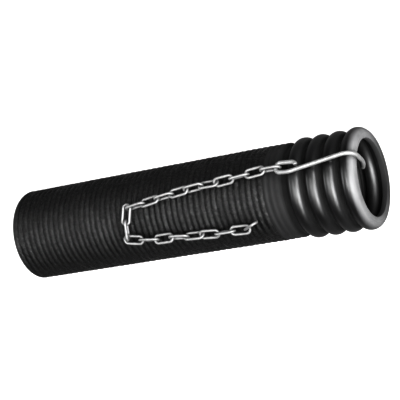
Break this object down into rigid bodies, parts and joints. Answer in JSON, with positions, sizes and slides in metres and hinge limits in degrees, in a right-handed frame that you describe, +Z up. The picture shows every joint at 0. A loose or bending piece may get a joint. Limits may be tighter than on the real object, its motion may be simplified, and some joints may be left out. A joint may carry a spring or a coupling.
{
  "type": "tailpipe hose adapter",
  "caption": "Short ribbed rubber exhaust hose with a flared bellows cuff that slips over a tailpipe, and a wire hook on a loose link chain that keeps it there.",
  "frame": {"origin": "centre of the open hose end, on the hose's axis", "axes": "+X along the hose from its open end to the flared mouth; +Z up, away from the surface that the hose lies on; +Y to the side that the hook and the chain's first run lie on"},
  "size_m": [0.3095, 0.0782, 0.0851],
  "materials": {
    "hose_rubber": "matte black rubber with a fine fabric-like texture",
    "cuff_rubber": "smooth satin black moulded rubber",
    "hook_wire": "bright zinc-plated steel wire",
    "chain_steel": "bright zinc-plated steel, a little dulled"
  },
  "bodies": {
    "hose": {"hose_body": "hose_rubber", "flared_cuff": "cuff_rubber"},
    "hook": {"hook": "hook_wire"},
    "link_01": {"link_01": "chain_steel"},
    "link_02": {"link_02": "chain_steel"},
    "link_03": {"link_03": "chain_steel"},
    "link_04": {"link_04": "chain_steel"},
    "link_05": {"link_05": "chain_steel"},
    "link_06": {"link_06": "chain_steel"},
    "link_07": {"link_07": "chain_steel"},
    "link_08": {"link_08": "chain_steel"},
    "link_09": {"link_09": "chain_steel"},
    "link_10": {"link_10": "chain_steel"},
    "link_11": {"link_11": "chain_steel"},
    "link_12": {"link_12": "chain_steel"},
    "link_13": {"link_13": "chain_steel"},
    "link_14": {"link_14": "chain_steel"},
    "link_15": {"link_15": "chain_steel"},
    "link_16": {"link_16": "chain_steel"},
    "link_17": {"link_17": "chain_steel"},
    "link_18": {"link_18": "chain_steel"},
    "link_19": {"link_19": "chain_steel"},
    "link_20": {"link_20": "chain_steel"},
    "link_21": {"link_21": "chain_steel"}
  },
  "joints": [
    {"name": "hook_lift", "type": "hinge", "parent": "hose", "child": "hook", "pos_m": [0.29883, 0.01485, 0.02915], "axis": [0, 0.891, -0.454], "range_deg": [0, 45]},
    {"name": "link_01_turn", "type": "hinge", "parent": "hook", "child": "link_01", "pos_m": [0.2448, 0.01911, 0.03751], "axis": [0, 0.9272, -0.3746], "range_deg": [0, 35]},
    {"name": "link_02_turn", "type": "hinge", "parent": "link_01", "child": "link_02", "pos_m": [0.23225, 0.01911, 0.03751], "axis": [0.0076, 0.3648, 0.9311], "range_deg": [0, 25]},
    {"name": "link_03_turn", "type": "hinge", "parent": "link_02", "child": "link_03", "pos_m": [0.21915, 0.01809, 0.03802], "axis": [-0.0819, 0.9932, -0.0825], "range_deg": [0, 30]},
    {"name": "link_04_turn", "type": "hinge", "parent": "link_03", "child": "link_04", "pos_m": [0.20605, 0.01705, 0.0385], "axis": [-0.9962, -0.0801, 0.0344], "range_deg": [0, 25]},
    {"name": "link_05_turn", "type": "hinge", "parent": "link_04", "child": "link_05", "pos_m": [0.19295, 0.01599, 0.03895], "axis": [-1, 0, 0], "range_deg": [0, 35]},
    {"name": "link_06_turn", "type": "hinge", "parent": "link_05", "child": "link_06", "pos_m": [0.1798, 0.01599, 0.03895], "axis": [0, 0.6112, -0.7914], "range_deg": [0, 20]},
    {"name": "link_07_turn", "type": "hinge", "parent": "link_06", "child": "link_07", "pos_m": [0.16671, 0.01471, 0.03945], "axis": [-0.9945, -0.0984, 0.0352], "range_deg": [0, 30]},
    {"name": "link_08_turn", "type": "hinge", "parent": "link_07", "child": "link_08", "pos_m": [0.15363, 0.01341, 0.03991], "axis": [-0.9925, -0.1161, 0.0369], "range_deg": [0, 30]},
    {"name": "link_09_turn", "type": "hinge", "parent": "link_08", "child": "link_09", "pos_m": [0.14059, 0.01184, 0.04041], "axis": [-0.9903, -0.1342, 0.0368], "range_deg": [0, 15]},
    {"name": "link_10_turn", "type": "hinge", "parent": "link_09", "child": "link_10", "pos_m": [0.12756, 0.01008, 0.04089], "axis": [-0.9903, -0.1357, 0.0309], "range_deg": [0, 40]},
    {"name": "link_11_turn", "type": "hinge", "parent": "link_10", "child": "link_11", "pos_m": [0.11454, 0.00829, 0.04129], "axis": [0, -0.0915, -0.9958], "range_deg": [0, 10]},
    {"name": "link_12_turn", "type": "hinge", "parent": "link_11", "child": "link_12", "pos_m": [0.11173, -0.00381, 0.04263], "axis": [-0.1564, -0.968, -0.1964], "range_deg": [0, 35]},
    {"name": "link_13_turn", "type": "hinge", "parent": "link_12", "child": "link_13", "pos_m": [0.11, -0.01602, 0.03971], "axis": [-0.0331, 0.2327, -0.972], "range_deg": [0, 35]},
    {"name": "link_14_turn", "type": "hinge", "parent": "link_13", "child": "link_14", "pos_m": [0.12227, -0.01802, 0.03808], "axis": [-0.0998, -0.9821, 0.1599], "range_deg": [0, 30]},
    {"name": "link_15_turn", "type": "hinge", "parent": "link_14", "child": "link_15", "pos_m": [0.13535, -0.01929, 0.03743], "axis": [-0.0087, -0.0455, -0.9989], "range_deg": [0, 35]},
    {"name": "link_16_turn", "type": "hinge", "parent": "link_15", "child": "link_16", "pos_m": [0.1485, -0.01949, 0.03732], "axis": [-0.0672, -0.9282, 0.3659], "range_deg": [0, 30]},
    {"name": "link_17_turn", "type": "hinge", "parent": "link_16", "child": "link_17", "pos_m": [0.16156, -0.0209, 0.03655], "axis": [-0.0506, -0.7066, -0.7058], "range_deg": [0, 35]},
    {"name": "link_18_turn", "type": "hinge", "parent": "link_17", "child": "link_18", "pos_m": [0.17471, -0.02138, 0.03627], "axis": [-0.0076, 0.4407, -0.8976], "range_deg": [-20, 30]},
    {"name": "link_19_turn", "type": "hinge", "parent": "link_18", "child": "link_19", "pos_m": [0.18781, -0.02236, 0.03568], "axis": [0, -0.9931, -0.1176], "range_deg": [0, 30]},
    {"name": "link_20_turn", "type": "hinge", "parent": "link_19", "child": "link_20", "pos_m": [0.20097, -0.02216, 0.0358], "axis": [-0.0179, 0.2105, -0.9774], "range_deg": [0, 30]},
    {"name": "link_21_turn", "type": "hinge", "parent": "link_20", "child": "link_21", "pos_m": [0.2141, -0.02274, 0.03543], "axis": [0.3618, -0.9219, -0.1387], "range_deg": [-25, 40]}
  ]
}
